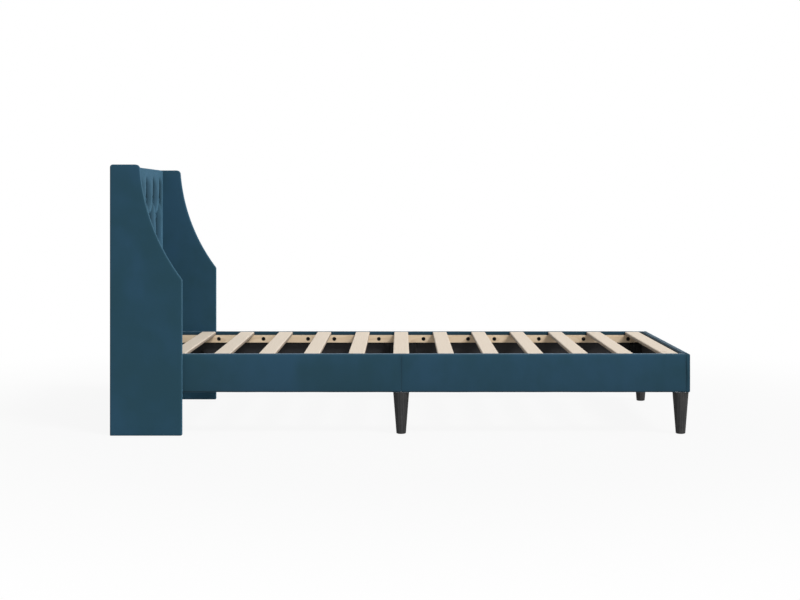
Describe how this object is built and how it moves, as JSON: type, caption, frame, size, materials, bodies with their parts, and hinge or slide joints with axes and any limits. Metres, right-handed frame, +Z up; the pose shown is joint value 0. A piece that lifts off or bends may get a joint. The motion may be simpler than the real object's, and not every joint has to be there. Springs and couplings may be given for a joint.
{
  "type": "upholstered bed",
  "caption": "Velvet single bed: tufted headboard between curved wings, padded rails, bare pine slats on ledgers and tapered round legs.",
  "frame": {"origin": "on the floor, under the middle of the bed's overall length and width", "axes": "+X runs from the headboard to the foot, +Y is to the right as seen from the foot, +Z is up"},
  "size_m": [2.095, 1.027, 0.977],
  "materials": {
    "velvet": "short-pile velvet, petrol blue",
    "lining_cloth": "thin black non-woven cloth",
    "foam": "soft upholstery foam",
    "plywood": "raw plywood",
    "pine": "planed pine, unfinished",
    "stained_wood": "black stain, satin",
    "zinc_steel": "zinc plated",
    "black_steel": "black oxide",
    "glide_plastic": "matte"
  },
  "bodies": {
    "root": {"block_screws": "black_steel", "corner_block_left": "stained_wood", "corner_block_right": "stained_wood", "foot_board": "pine", "foot_cover": "velvet", "foot_lining": "lining_cloth", "hanger_bolts": "zinc_steel", "head_block_left": "stained_wood", "head_block_right": "stained_wood", "headboard_back_cloth": "lining_cloth", "headboard_board": "plywood", "headboard_buttons": "velvet", "headboard_cover": "velvet", "headboard_foam": "foam", "joint_bolts": "black_steel", "ledger_bolts": "black_steel", "ledger_foot_left": "pine", "ledger_foot_right": "pine", "ledger_head_left": "pine", "ledger_head_right": "pine", "ledger_mid_left": "pine", "ledger_mid_right": "pine", "leg_foot_left": "stained_wood", "leg_foot_right": "stained_wood", "leg_glides": "glide_plastic", "leg_mid_left": "stained_wood", "leg_mid_right": "stained_wood", "leg_plates": "zinc_steel", "mid_block_left": "stained_wood", "mid_block_right": "stained_wood", "rail_board_foot_left": "pine", "rail_board_foot_right": "pine", "rail_board_head_left": "pine", "rail_board_head_right": "pine", "rail_cover_foot_left": "velvet", "rail_cover_foot_right": "velvet", "rail_cover_head_left": "velvet", "rail_cover_head_right": "velvet", "rail_linings": "lining_cloth", "short_screws": "zinc_steel", "slat_01": "pine", "slat_02": "pine", "slat_03": "pine", "slat_04": "pine", "slat_05": "pine", "slat_06": "pine", "slat_07": "pine", "slat_08": "pine", "slat_09": "pine", "slat_10": "pine", "slat_11": "pine", "slat_12": "pine", "slat_13": "pine", "tee_nuts": "zinc_steel", "wing_board_left": "plywood", "wing_board_right": "plywood", "wing_bolts": "black_steel", "wing_brackets": "zinc_steel", "wing_cover_left": "velvet", "wing_cover_right": "velvet"}
  },
  "joints": []
}
